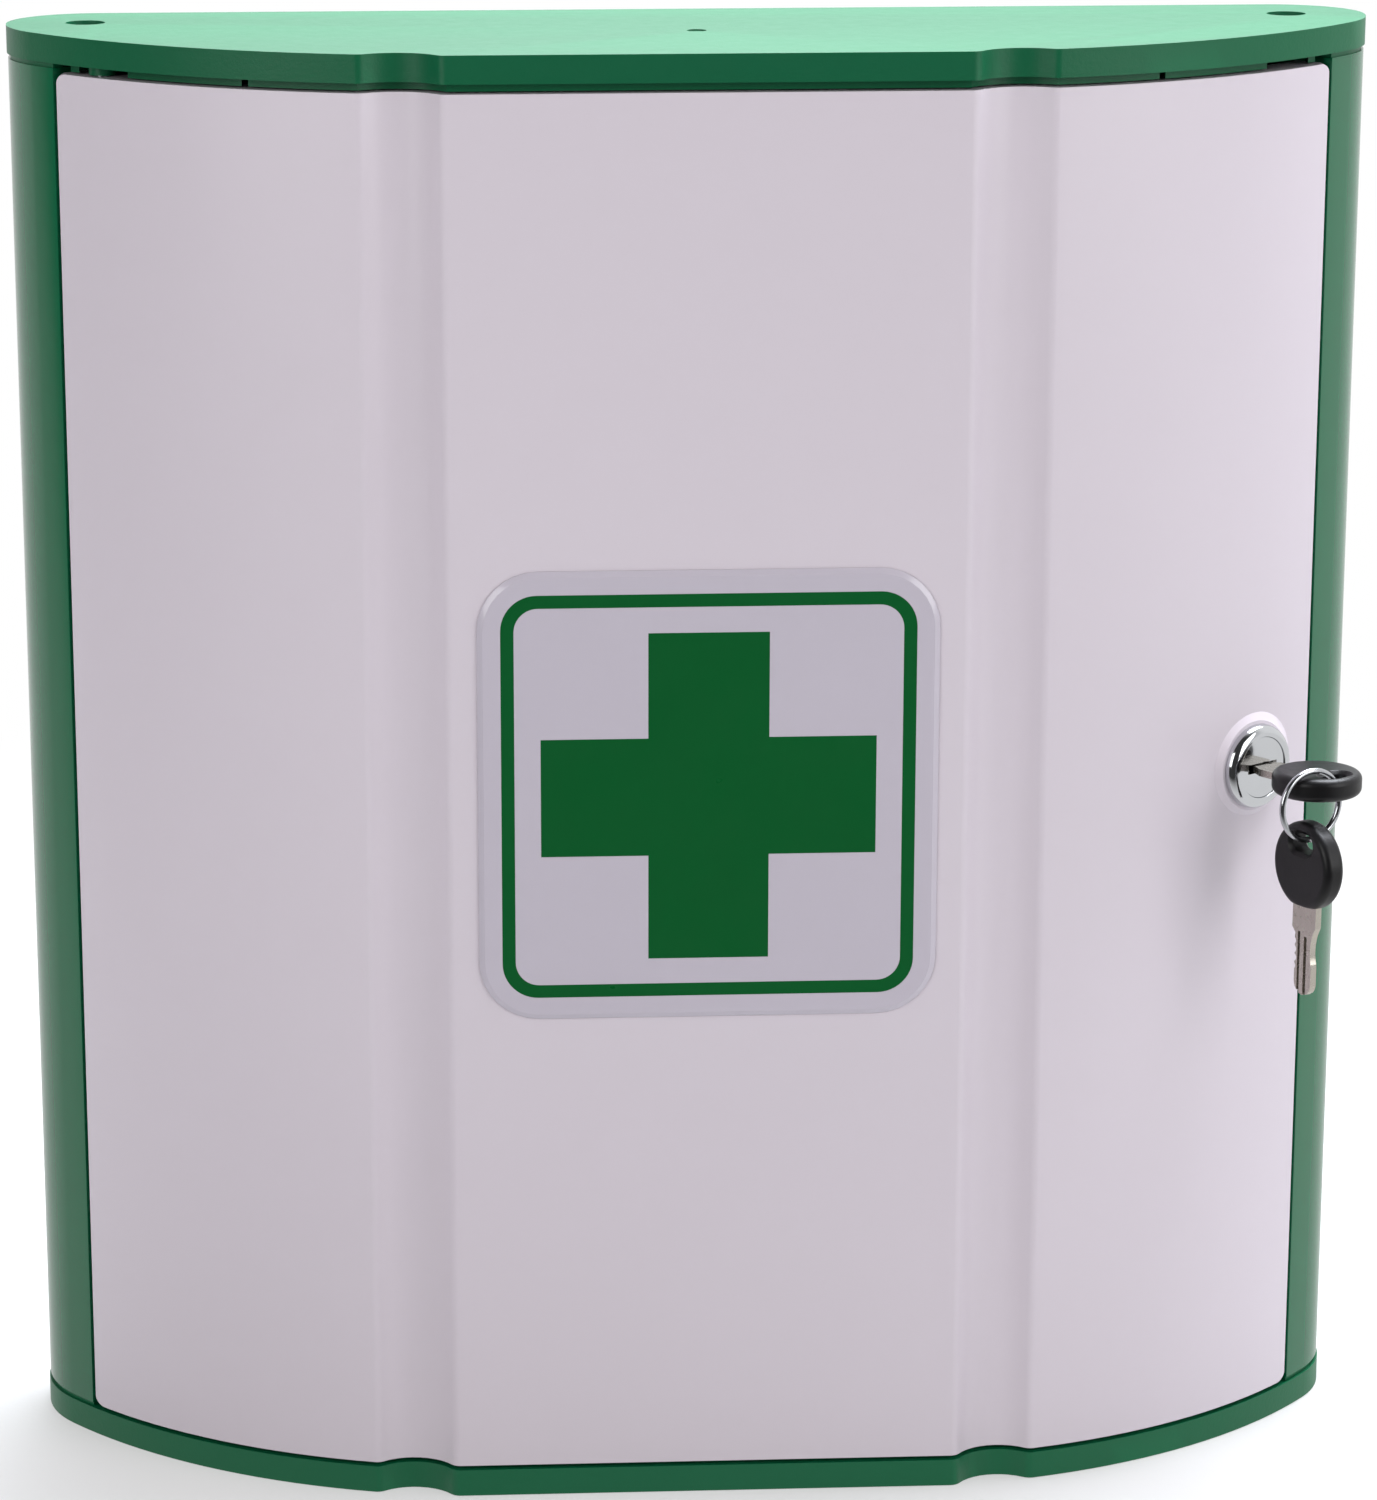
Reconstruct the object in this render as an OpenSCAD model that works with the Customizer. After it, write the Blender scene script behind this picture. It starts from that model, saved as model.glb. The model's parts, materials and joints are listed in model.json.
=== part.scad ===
// Lockable medicine cabinet: a curved case between two moulded caps, two shelves,
// a bowed door on hinge pins, and a cam lock with two keys on a ring.
// X runs to the right, Y to the back, Z up. The origin is the middle of the underside.

/* [Case] */
// Width over the widest point of the sides
case_w = 346; // [300:1:400]
// Height over both caps
case_h = 370; // [340:5:420]
// Depth from the wall face to the flat centre panel
case_d = 100; // [97:0.5:104]
// Width of the curved wing on each side of the flat centre panel
wing_w = 109; // [106:0.5:112]
// Radius of the long curve on each side of the centre panel
front_r = 150; // [146:1:156]
// Radius of the turn from the long curve to the side
side_r = 34; // [30:0.5:35]
// Radius of the back corners
back_r = 22; // [20:0.5:24]
// Thickness of the case wall
wall_t = 2.5; // [2:0.1:3]
// How far the case wall sits inside the edge of the caps
seam_set = 0.3; // [0.1:0.1:0.6]
// Depth of the return flange along each front edge
jamb_depth = 16; // [14:0.5:16.4]
// Thickness of the return flange
jamb_t = 2.5; // [2:0.1:3]

/* [Grooves] */
// Distance of each upright groove from the edge of the centre panel
groove_in = 12; // [10:0.5:14]
// Radius of the groove
groove_r = 12; // [10:0.5:14]
// Depth of the groove below the centre panel
groove_depth = 6.8; // [5.5:0.1:7.4]
// Radius of the groove's shoulders
shoulder_r = 3; // [2:0.5:3.5]

/* [Caps] */
// Height of the band round each cap
cap_h = 7; // [6:0.5:9]
// Height of the stepped strip between each band and the case wall
strip_h = 1.2; // [0.8:0.1:1.5]
// How far the strip sits inside the edge of the caps
strip_set = 0.9; // [0.6:0.1:1.2]
// Thickness of the cap's plate
cap_plate_t = 2.5; // [2:0.1:3.2]
// Thickness of the band
skirt_t = 2.5; // [2:0.1:2.6]
// Thickness of the locating rim inside the case
rim_t = 2; // [1.6:0.1:2.4]
// How far the rim reaches into the case
rim_reach = 6; // [4:0.5:8]
// Height of the front lip beyond the band of the top cap
top_lip = 2; // [1:0.1:2.1]
// Height of the front lip beyond the band of the bottom cap
bottom_lip = 0.6; // [0.3:0.1:0.8]
// Distance of the front lip's ends from the sides
lip_in = 32; // [31:0.5:38]
// Distance of the relief slots in the lip from the sides
lip_slot_in = 61; // [52:0.5:72]
// Width of the relief slots
lip_slot_w = 1.6; // [1:0.1:3]
// Distance of the end lugs of the lip from the sides
lug_in = 18.5; // [17:0.5:20]
// Width of the end lugs
lug_w = 2.2; // [1.5:0.1:3]
// Number of stiffening ribs under the plate
cap_ribs = 7; // [3:2:11]
// Thickness of the stiffening ribs
cap_rib_t = 1.8; // [1.2:0.1:2.4]

/* [Cap screws] */
// Distance of the cap screws from the sides
screw_in = 20; // [19:0.5:23]
// Distance of the cap screws from the wall face
screw_y = 22; // [20:0.5:24]
// Diameter of the countersunk cup for the screw head
cup_d = 10; // [9.5:0.5:11]
// Depth of the cup
cup_depth = 4; // [3.2:0.1:4.4]
// Diameter of the screw thread
screw_d = 4; // [3.5:0.1:4.2]
// Length of the screw under its head
screw_len = 16; // [12:1:20]
// Diameter of the screw head
screw_head_d = 7.6; // [7:0.1:8.4]
// Height of the screw head
screw_head_h = 2.4; // [2:0.1:2.8]
// Length of the screw ports at each end of the case
port_len = 30; // [24:1:40]
// Diameter of the screw ports
port_d = 9; // [8:0.5:10]

/* [Wall fixing] */
// Distance of the wall screw holes from the sides
wall_hole_in = 63; // [53:1:83]
// Distance of the wall screw holes from the top and the underside
wall_hole_up = 60; // [50:5:90]
// Diameter of the wall screw holes
wall_hole_d = 5.5; // [4:0.5:7]
// Diameter of the pad round each wall screw hole
wall_pad_d = 18; // [14:1:24]

/* [Shelves] */
// Underside of the lower shelf
shelf_lower_z = 125; // [105:1:135]
// Underside of the upper shelf
shelf_upper_z = 245; // [240:1:260]
// Thickness of the shelves
shelf_t = 2.5; // [2:0.1:4]
// Distance of the shelf's front edge behind the front of the case
shelf_set = 20; // [19:0.5:30]
// Height of the upstand along the front edge
shelf_lip_h = 10; // [6:0.5:16]
// Clearance between the shelf and the case wall
shelf_gap = 0.5; // [0.3:0.1:1.5]
// Width of the ledge that carries the shelf
ledge_w = 6; // [4:0.5:10]
// Height of the ledge
ledge_h = 3; // [2:0.5:5]

/* [Door] */
// Distance of the door's edges from the sides of the case
door_in = 13.7; // [12.9:0.1:15]
// Gap between the door and the band of the top cap
door_top_gap = 2.4; // [2.2:0.1:4]
// Gap between the door and the band of the bottom cap
door_bottom_gap = 1.1; // [1:0.1:2]
// Gap between the door and the case wall at each side
door_side_gap = 1.3; // [1.1:0.1:1.6]
// Depth of the door's face behind the edge of the caps
door_set = 0.3; // [0.1:0.1:0.6]
// Radius of the door's corners, seen from the front
door_corner_r = 2.5; // [1:0.5:4]
// Thickness of the door's skin
door_t = 2.5; // [2:0.1:2.6]
// Depth of the return along the door's side edges
door_edge_depth = 8; // [6:0.5:8.5]
// Depth of the return along the top and bottom edges
door_flange_depth = 10; // [9:0.5:12]
// Number of cross ribs inside the door
door_ribs = 4; // [4:1:5]
// Depth of the cross ribs
door_rib_depth = 5; // [3:0.5:7]
// Thickness of the cross ribs
door_rib_t = 2; // [1.5:0.1:3]

/* [Hinge] */
// Distance of the hinge axis from the door's edge, along the curve
hinge_edge = 12; // [11.5:0.5:12.5]
// Depth of the hinge axis below the door's face
hinge_depth = 5; // [4.8:0.1:5.2]
// Diameter of the hinge pins
pin_d = 4; // [3:0.1:4.4]
// Clearance of the door's bore round the pin, on the radius
pin_gap = 0.06; // [0.03:0.01:0.1]
// Diameter of the hinge knuckles
knuckle_d = 9; // [8:0.1:9.2]
// Height of the hinge knuckles
knuckle_h = 16; // [10:1:24]
// Wall of the bosses that hold the hinge pins
boss_wall = 1.4; // [1:0.1:2]
// Gap between the door and the bosses
boss_gap = 0.3; // [0.2:0.05:0.4]

/* [Label plate] */
// Width and height of the label plate
label_size = 115; // [100:1:118]
// Radius of its corners
label_corner = 15; // [8:0.5:20]
// Thickness of the label plate
label_t = 1.3; // [1:0.1:2]
// Width of its domed edge
label_bevel = 1.4; // [0.5:0.1:2.5]
// Height of its middle above the middle of the case
label_up = 1; // [-10:1:10]

/* [Lock] */
// Distance of the lock from the side of the case
lock_in = 30.9; // [30:0.1:32]
// Height of the lock above the middle of the case
lock_up = -1.6; // [-5:0.1:3]
// Lean of the lock's axis from square to the door's face
lock_lean = 2.9; // [0:0.1:4.5]
// Diameter of the raised seat round the lock, at the door's face
seat_d = 27; // [26:0.1:28.5]
// Diameter of the seat's flat front
seat_front_d = 23.6; // [23:0.1:25]
// Height of the seat above the door's face, at the lock's axis
seat_h = 1.4; // [1:0.1:1.8]
// Thickness of the pad behind the door's skin that the lock is clamped on
lock_pad_t = 1.5; // [1.4:0.1:2.5]
// Diameter of the bezel
bezel_d = 22; // [20:0.5:23]
// Height of the bezel above its seat
bezel_h = 3; // [2:0.1:4]
// Diameter of the threaded barrel
barrel_d = 18; // [17.6:0.1:18.4]
// Width across the flats of the barrel
barrel_flats = 16; // [15.8:0.1:17]
// Length of the barrel behind the bezel
barrel_len = 20.6; // [20.4:0.1:21.2]
// Diameter of the plug
plug_d = 14.4; // [14:0.1:14.6]
// Diameter of the plug's head
plug_head_d = 15.8; // [15.2:0.1:16.2]
// Running clearance round the plug, on the radius
plug_gap = 0.06; // [0.03:0.01:0.1]
// Width across the flats of the nut
nut_flats = 22; // [21:0.5:24]
// Height of the nut
nut_h = 5; // [3:0.5:6]
// Length of the cam from the lock's axis to its tip
cam_len = 29; // [28:0.5:30]
// Width of the cam
cam_w = 13; // [11:0.5:15]
// Thickness of the cam
cam_t = 2; // [1.6:0.1:2.6]
// Number of wafer tumblers in the plug
wafers = 5; // [3:1:5]

/* [Keys] */
// Width of the key blade
blade_w = 6.8; // [6:0.1:7]
// Thickness of the key blade
blade_t = 1.8; // [1.4:0.1:2]
// Length of the blade from the head to its tip
blade_len = 24; // [22.8:0.1:24.4]
// Width of the shoulder next to the head
shoulder_w = 9.4; // [8.5:0.1:11]
// Length of the shoulder
shoulder_len = 8.2; // [7.6:0.1:8.6]
// Gap between the plug's face and the shoulder of the inserted key
shoulder_gap = 0.6; // [0.4:0.1:1.2]
// Diameter of the key head
head_d = 22.8; // [22:0.1:24]
// Depth of the flat on the head where the blade leaves it
head_flat = 1.2; // [0.8:0.1:1.6]
// Thickness of the key head
head_t = 6; // [5:0.1:6.2]
// Width of the slot in the key head
eye_w = 8.4; // [8.2:0.1:9.4]
// Height of the slot in the key head
eye_h = 5; // [4.8:0.1:5.4]
// Wall between the slot and the end of the head
eye_rim = 3; // [2.5:0.1:3.2]
// Middle diameter of the key ring
ring_d = 17.8; // [17.6:0.1:19]
// Wire diameter of the key ring
ring_wire = 1.6; // [1.2:0.1:1.7]
// Turn of the key ring away from square to the key
ring_yaw = 9; // [0:1:12]

/* [Hidden] */
$fn = 64;

// A little extra for cuts that run past a face
past = 1;
// Fit of parts that are pushed or screwed together
snug = 0.03;

// Places measured in from the sides of the case
flat_half = case_w / 2 - wing_w;
groove_x = flat_half + groove_in;
lip_half = case_w / 2 - lip_in;
lip_slot_x = case_w / 2 - lip_slot_in;
lug_x = case_w / 2 - lug_in;
screw_x = case_w / 2 - screw_in;
wall_hole_dx = case_w - 2 * wall_hole_in;
wall_hole_dz = case_h - 2 * wall_hole_up;
door_half = case_w / 2 - door_in;
lock_x = case_w / 2 - lock_in;
lock_z = case_h / 2 + lock_up;
label_z = case_h / 2 + label_up;

// Plan of the case, seen from above: arc centres of the right half
back_y = case_d / 2;
front_y = -case_d / 2;
turn_c = [case_w / 2 - side_r, back_y - back_r];
back_c = [case_w / 2 - back_r, back_y - back_r];
front_c = meet([flat_half, front_y], front_r, turn_c, front_r - side_r, 1);
groove_c = [groove_x, front_y + groove_depth - groove_r];
turn_a = out_angle(front_c, turn_c);

// Where two circles meet: centres p and q, radii rp and rq, on the given side of the line from p to q
function meet(p, rp, q, rq, side) =
    let (span = norm(q - p), e = (q - p) / span)
    let (along = (rp * rp - rq * rq + span * span) / (2 * span))
    p + along * e + side * sqrt(rp * rp - along * along) * [-e[1], e[0]];

// Direction from p to q as an angle from straight forward, turning to the right
function out_angle(p, q) = atan2(q[0] - p[0], p[1] - q[1]);
function out_dir(a) = [sin(a), -cos(a)];

// Points of an arc; the first point is left out where the piece before it already gives it
function arc(c, r, a0, a1, steps, first = 0) =
    r < 0.02 ? [c] : [for (i = [first:steps]) c + r * out_dir(a0 + (a1 - a0) * i / steps)];

// Right half of the outline, drawn in by the inset, from the front to the back
function half_outline(inset) =
    let (round_r = max(shoulder_r - inset, 0), hollow_r = groove_r + inset)
    let (s1_drop = hollow_r + round_r - groove_depth)
    let (s1 = [groove_x - sqrt(pow(hollow_r + round_r, 2) - pow(s1_drop, 2)), front_y + inset + round_r])
    let (s2 = meet(groove_c, hollow_r + round_r, front_c, front_r - inset - round_r, -1))
    let (b1 = out_angle(s1, groove_c), b2 = out_angle(s2, groove_c), a2 = out_angle(front_c, s2))
    concat(
        arc(s1, round_r, 0, b1, 4),
        [for (i = [1:9]) groove_c - hollow_r * out_dir(b1 + (b2 - b1) * i / 10)],
        arc(s2, round_r, b2, a2, 4),
        arc(front_c, front_r - inset, a2, turn_a, 18, 1),
        arc(turn_c, side_r - inset, turn_a, 90, 8, 1),
        arc(back_c, back_r - inset, 90, 180, 12, 1));

function mirrored(points) = [for (i = [len(points) - 1:-1:0]) [-points[i][0], points[i][1]]];

module plan(inset) {
    half = half_outline(inset);
    polygon(concat(half, mirrored(half)));
}

module band(outer, inner) {
    difference() {
        plan(outer);
        plan(inner);
    }
}

// Everything in front of the lines that run from the arc centres out at angle a
module front_wedge(a) {
    far = front_c + (front_r + back_r) * out_dir(a);
    near = front_c + (front_r - case_d / 3) * out_dir(a);
    half = [[far[0], 2 * front_y], far, near];
    polygon(concat(half, mirrored(half)));
}

// A frame on the long curve: its -Y points outward at angle a and +X runs on round the curve
module on_curve(a) {
    translate(front_c)
        rotate(a)
            children();
}

module both_sides() {
    children();
    mirror([1, 0, 0])
        children();
}

module upright(z0, z1) {
    translate([0, 0, z0])
        linear_extrude(z1 - z0)
            children();
}

// Heights; the case wall stands on the strip of each cap
wall_seat = cap_h + strip_h;
shell_z0 = wall_seat;
shell_z1 = case_h - wall_seat;
door_z0 = cap_h + door_bottom_gap;
door_z1 = case_h - cap_h - door_top_gap;
rim_in = seam_set + wall_t + 0.2;

// Places along the long curve
face_r = front_r - door_set;
door_a = asin((door_half - front_c[0]) / face_r);
jamb_a = door_a + door_side_gap / face_r * 180 / PI;
jamb_step = 0.5;
flange_a = jamb_a + jamb_step / face_r * 180 / PI;
hinge_a = door_a - hinge_edge / face_r * 180 / PI;
hinge_p = front_c + (face_r - hinge_depth) * out_dir(hinge_a);
hinge_xy = [-hinge_p[0], hinge_p[1]];
ports = [for (side = [-1, 1]) [side * screw_x, back_y - screw_y]];

// Lock frame: local Z points out of the door, local Y up, origin on the seat's flat front
lock_a = asin((lock_x - front_c[0]) / face_r);
lock_az = lock_a - lock_lean;
lock_face = front_c + face_r * out_dir(lock_a);
lock_front = lock_face + seat_h * out_dir(lock_az);
lock_o = [lock_front[0], lock_front[1], lock_z];

module at_lock() {
    translate(lock_o)
        rotate([90, 0, lock_az])
            children();
}

/* Case */

// Web that ties a screw port to the back corner
module port_web() {
    translate([screw_x, back_y - screw_y])
        rotate(45)
            translate([0, -wall_t / 2])
                square([back_r, wall_t]);
}

module port_section() {
    intersection() {
        plan(seam_set + wall_t / 2);
        both_sides()
            union() {
                translate([screw_x, back_y - screw_y])
                    circle(d = port_d);
                port_web();
            }
    }
}

module shell_section() {
    difference() {
        band(seam_set, seam_set + wall_t);
        front_wedge(jamb_a);
    }
    both_sides()
        on_curve(jamb_a)
            translate([jamb_step, -(front_r - seam_set - wall_t / 2)])
                square([jamb_t, jamb_depth - wall_t / 2]);
}

module ledge(shelf_z) {
    upright(shelf_z - ledge_h, shelf_z)
        intersection() {
            band(seam_set + wall_t / 2, seam_set + wall_t + ledge_w);
            translate([-case_w, shelf_back_y])
                square([2 * case_w, case_d]);
        }
}

module at_wall_holes() {
    for (x = [-1, 1], z = [-1, 1])
        translate([x * wall_hole_dx / 2, back_y, case_h / 2 + z * wall_hole_dz / 2])
            rotate([90, 0, 0])
                children();
}

module body_shell() {
    color("seagreen")
        difference() {
            union() {
                upright(shell_z0, shell_z1)
                    shell_section();
                upright(shell_z0, shell_z0 + port_len)
                    port_section();
                upright(shell_z1 - port_len, shell_z1)
                    port_section();
                ledge(shelf_lower_z);
                ledge(shelf_upper_z);
                at_wall_holes()
                    translate([0, 0, seam_set + wall_t / 2])
                        cylinder(d = wall_pad_d, h = wall_t / 2 + 2);
            }
            at_wall_holes()
                translate([0, 0, -past])
                    cylinder(d = wall_hole_d, h = seam_set + wall_t + 2 + 2 * past);
            for (p = ports)
                for (z = [shell_z0 - past, shell_z1 + past - port_bore_len])
                    translate([p[0], p[1], z])
                        cylinder(d = screw_d + 2 * snug, h = port_bore_len);
        }
}
port_bore_len = screw_len - (wall_seat - cup_depth) + 2 + past;

/* Caps */

// Front lip: a low wall behind the door's edge, with relief slots and two end lugs
module lip_section() {
    intersection() {
        band(rim_in, rim_in + rim_t);
        translate([0, front_y])
            union() {
                difference() {
                    translate([-lip_half, -past])
                        square([2 * lip_half, case_d / 2]);
                    for (side = [-1, 1])
                        translate([side * lip_slot_x - lip_slot_w / 2, -2 * past])
                            square([lip_slot_w, case_d]);
                }
                for (side = [-1, 1])
                    translate([side * lug_x - lug_w / 2, -past])
                        square([lug_w, case_d / 2 + 12]);
            }
    }
}

// Strip that the case wall stands on, set in so that it reads as a shadow line
module strip_section() {
    difference() {
        band(strip_set, rim_in + rim_t / 2);
        front_wedge(flange_a);
    }
}

// Rim that locates the cap inside the case, broken at the screw ports
module rim_section() {
    difference() {
        band(rim_in, rim_in + rim_t);
        front_wedge(jamb_a + (jamb_step + jamb_t + 1) / face_r * 180 / PI);
        offset_web();
    }
}

module offset_web() {
    both_sides()
        translate([screw_x, back_y - screw_y])
            rotate(45)
                translate([0, -wall_t / 2 - shelf_gap])
                    square([back_r, wall_t + 2 * shelf_gap]);
}

// The lower cap; the upper one is the same moulding turned over, with its own lip and boss heights
module cap(lip_h, boss_top) {
    hinge_bore_z = cap_plate_t / 2;
    difference() {
        union() {
            upright(0, cap_plate_t)
                plan(0);
            upright(0, cap_h)
                band(0, skirt_t);
            upright(cap_plate_t / 2, cap_h + lip_h)
                lip_section();
            upright(cap_h / 2, wall_seat)
                strip_section();
            upright(cap_plate_t / 2, wall_seat + rim_reach)
                rim_section();
            upright(cap_plate_t / 2, cap_h - 1)
                intersection() {
                    plan(rim_in + rim_t / 2);
                    for (i = [0:cap_ribs - 1])
                        translate([(i - (cap_ribs - 1) / 2) * 2 * lip_half / (cap_ribs + 1) - cap_rib_t / 2, front_y])
                            square([cap_rib_t, case_d]);
                }
            for (p = ports)
                translate([p[0], p[1], 0])
                    cylinder(d = cup_d + 3, h = wall_seat);
            translate([hinge_xy[0], hinge_xy[1], 0])
                cylinder(d = pin_d + 2 * boss_wall, h = boss_top);
        }
        for (p = ports)
            translate([p[0], p[1], -past]) {
                cylinder(d = cup_d, h = cup_depth + past);
                cylinder(d = screw_d + 0.6, h = wall_seat + 2 * past);
            }
        translate([hinge_xy[0], hinge_xy[1], hinge_bore_z])
            cylinder(d = pin_d + 2 * snug, h = cap_h + rim_reach);
    }
}
gate_d = 5;
gate_depth = 0.4;

module turned_over() {
    translate([0, 0, case_h])
        mirror([0, 0, 1])
            children();
}

module bottom_cap() {
    color("seagreen")
        cap(bottom_lip, door_z0 - boss_gap);
}

// The top cap shows the gate mark left by its moulding
module top_cap() {
    color("seagreen")
        turned_over()
            difference() {
                cap(top_lip, case_h - door_z1 - boss_gap);
                translate([0, 0, -past])
                    cylinder(d = gate_d, h = past + gate_depth);
            }
}

module cap_screw() {
    translate([0, 0, cup_depth - screw_head_h])
        difference() {
            cylinder(d = screw_head_d, h = screw_head_h);
            translate([0, 0, -past])
                linear_extrude(past + screw_head_h / 2)
                    union() {
                        square([screw_head_d * 0.6, 1], center = true);
                        square([1, screw_head_d * 0.6], center = true);
                    }
        }
    translate([0, 0, cup_depth - snug])
        cylinder(d = screw_d, h = screw_len);
}

module cap_screws() {
    color("silver")
        for (p = ports)
            translate([p[0], p[1], 0])
                cap_screw();
}

module bottom_cap_screws() {
    cap_screws();
}

module top_cap_screws() {
    turned_over()
        cap_screws();
}

/* Shelves */

// The shelf's sides start behind the return flanges
shelf_back_y = front_c[1] - (front_r - jamb_depth) * cos(jamb_a) + (jamb_step + jamb_t) * sin(jamb_a) + 1;

function shelf_half_outline(set) =
    let (a0 = asin((flat_half - front_c[0]) / (front_r - set)))
    concat(arc(front_c, front_r - set, a0, turn_a - 2, 14), [
        [front_c[0] + (front_r - set) * sin(turn_a - 2), shelf_back_y],
        [case_w, shelf_back_y],
        [case_w, case_d]]);

module shelf_section(set) {
    half = shelf_half_outline(set);
    intersection() {
        plan(seam_set + wall_t + shelf_gap);
        polygon(concat(half, mirrored(half)));
    }
}

module shelf(z) {
    color("white") {
        upright(z, z + shelf_t)
            shelf_section(shelf_set);
        upright(z + shelf_t / 2, z + shelf_t + shelf_lip_h)
            difference() {
                shelf_section(shelf_set);
                translate([-case_w, shelf_back_y - 4])
                    square([2 * case_w, case_d]);
                shelf_section(shelf_set + shelf_t);
            }
    }
}

module shelf_upper() {
    shelf(shelf_upper_z);
}

module shelf_lower() {
    shelf(shelf_lower_z);
}

/* Hinge */

pin_seat = cap_plate_t / 2 + snug;

module lower_pin() {
    translate([hinge_xy[0], hinge_xy[1], pin_seat])
        cylinder(d = pin_d, h = door_z0 + knuckle_h - pin_seat);
}

module hinge_pin_lower() {
    color("silver")
        lower_pin();
}

module hinge_pin_upper() {
    color("silver")
        translate([hinge_xy[0], hinge_xy[1], door_z1 - knuckle_h])
            cylinder(d = pin_d, h = case_h - pin_seat - (door_z1 - knuckle_h));
}

/* Door */

module door_band(inner) {
    intersection() {
        band(door_set, door_set + inner);
        front_wedge(door_a);
    }
}

module door_edges() {
    intersection() {
        plan(door_set);
        both_sides()
            on_curve(door_a)
                translate([-door_t, -front_r])
                    square([door_t, door_set + door_edge_depth]);
    }
}

module door_panel() {
    color("white")
        difference() {
            union() {
                upright(door_z0, door_z1) {
                    door_band(door_t);
                    door_edges();
                }
                for (z = [door_z0, door_z1 - door_t])
                    upright(z, z + door_t)
                        door_band(door_flange_depth);
                for (i = [1:door_ribs])
                    upright(rib_z(i), rib_z(i) + door_rib_t)
                        door_band(door_t + door_rib_depth);
                for (z = [door_z0, door_z1 - knuckle_h])
                    upright(z, z + knuckle_h)
                        translate(hinge_xy)
                            circle(d = knuckle_d);
                lock_seat();
            }
            translate([hinge_xy[0], hinge_xy[1], 0])
                cylinder(r = pin_d / 2 + pin_gap, h = case_h);
            at_lock()
                translate([0, 0, -barrel_len])
                    linear_extrude(barrel_len + past)
                        barrel_section(0.15);
            door_corner_cuts();
        }
}
function rib_z(i) = door_z0 + i * (door_z1 - door_z0) / (door_ribs + 1) - door_rib_t / 2;

// Raised cone in front of the door's skin, and a pad with a flat back for the washer
module lock_seat() {
    sunk = 1.8;
    slope = (seat_d - seat_front_d) / seat_h;
    at_lock() {
        translate([0, 0, -seat_h - sunk])
            cylinder(d1 = seat_d + sunk * slope, d2 = seat_front_d, h = seat_h + sunk);
        translate([0, 0, -lock_back])
            cylinder(d = seat_d, h = lock_back - seat_h - sunk);
    }
}
lock_back = seat_h + door_t + lock_pad_t;

// Everything outside the door's front outline with its rounded corners
module door_corner_cuts() {
    size = [2 * door_half, door_z1 - door_z0];
    translate([0, back_y, (door_z0 + door_z1) / 2])
        rotate([90, 0, 0])
            linear_extrude(case_d + past)
                difference() {
                    square(size + [2, 2] * past, center = true);
                    rounded_rectangle(size, door_corner_r);
                }
}

module rounded_rectangle(size, r) {
    square([size[0], size[1] - 2 * r], center = true);
    square([size[0] - 2 * r, size[1]], center = true);
    for (x = [-1, 1], y = [-1, 1])
        translate([x * (size[0] / 2 - r), y * (size[1] / 2 - r)])
            circle(r, $fn = 32);
}

// The plate's edge falls away in a bevel, as a poured resin dome does
module door_label() {
    color("whitesmoke")
        translate([0, front_y + door_set, label_z])
            rotate([90, 0, 0])
                hull() {
                    linear_extrude(label_t / 3)
                        rounded_rectangle([1, 1] * label_size, label_corner);
                    linear_extrude(label_t)
                        rounded_rectangle([1, 1] * (label_size - 2 * label_bevel), label_corner - label_bevel);
                }
}

/* Lock */

plug_face = bezel_h - 0.4;
plug_head_t = 1.4;
bezel_rim_d = plug_head_d + 1.6;
bezel_edge = 0.8;
cam_front = barrel_len + 1;
wafer_t = 1;
wafer_pitch = 2.4;
wafer_w = 8;
wafer_gap = 0.05;
keyway_gap = 0.3;
tail_w = 6.4;

module barrel_section(gap) {
    intersection() {
        circle(d = barrel_d + 2 * gap);
        square([barrel_flats + 2 * gap, barrel_d * 2], center = true);
    }
}

module lock_housing() {
    color("silver")
        at_lock()
            difference() {
                union() {
                    rotate_extrude()
                        polygon(bezel_profile());
                    translate([0, 0, -barrel_len])
                        linear_extrude(barrel_len + bezel_h / 4)
                            barrel_section(0);
                }
                translate([0, 0, -barrel_len - past])
                    cylinder(r = plug_d / 2 + plug_gap, h = barrel_len + bezel_h + 2 * past);
                translate([0, 0, plug_face - plug_head_t - head_seat_gap])
                    cylinder(r = plug_head_d / 2 + plug_gap, h = bezel_h);
            }
}
head_seat_gap = 0.3;

// Half section of the bezel: a quarter of an ellipse from its edge to its rim
function bezel_profile() = concat([[0, 0], [bezel_d / 2, 0]],
    [for (i = [0:6])
        [bezel_rim_d / 2 + (bezel_d - bezel_rim_d) / 2 * cos(15 * i),
            bezel_edge + (bezel_h - bezel_edge) * sin(15 * i)]],
    [[0, bezel_h]]);

module lock_washer() {
    color("silver")
        at_lock()
            translate([0, 0, -lock_back - washer_t])
                difference() {
                    cylinder(d = bezel_d + 3, h = washer_t);
                    translate([0, 0, -past])
                        cylinder(d = barrel_d + 0.3, h = washer_t + 2 * past);
                }
}
washer_t = 1;

module lock_nut() {
    color("silver")
        at_lock()
            translate([0, 0, -lock_back - washer_t - nut_h])
                difference() {
                    linear_extrude(nut_h)
                        circle(d = nut_flats / cos(30), $fn = 6);
                    translate([0, 0, -past])
                        cylinder(d = barrel_d + 2 * snug, h = nut_h + 2 * past);
                }
}

blade_in = blade_len - shoulder_len - shoulder_gap;

function wafer_z(i) = -2 - i * wafer_pitch;

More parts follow.
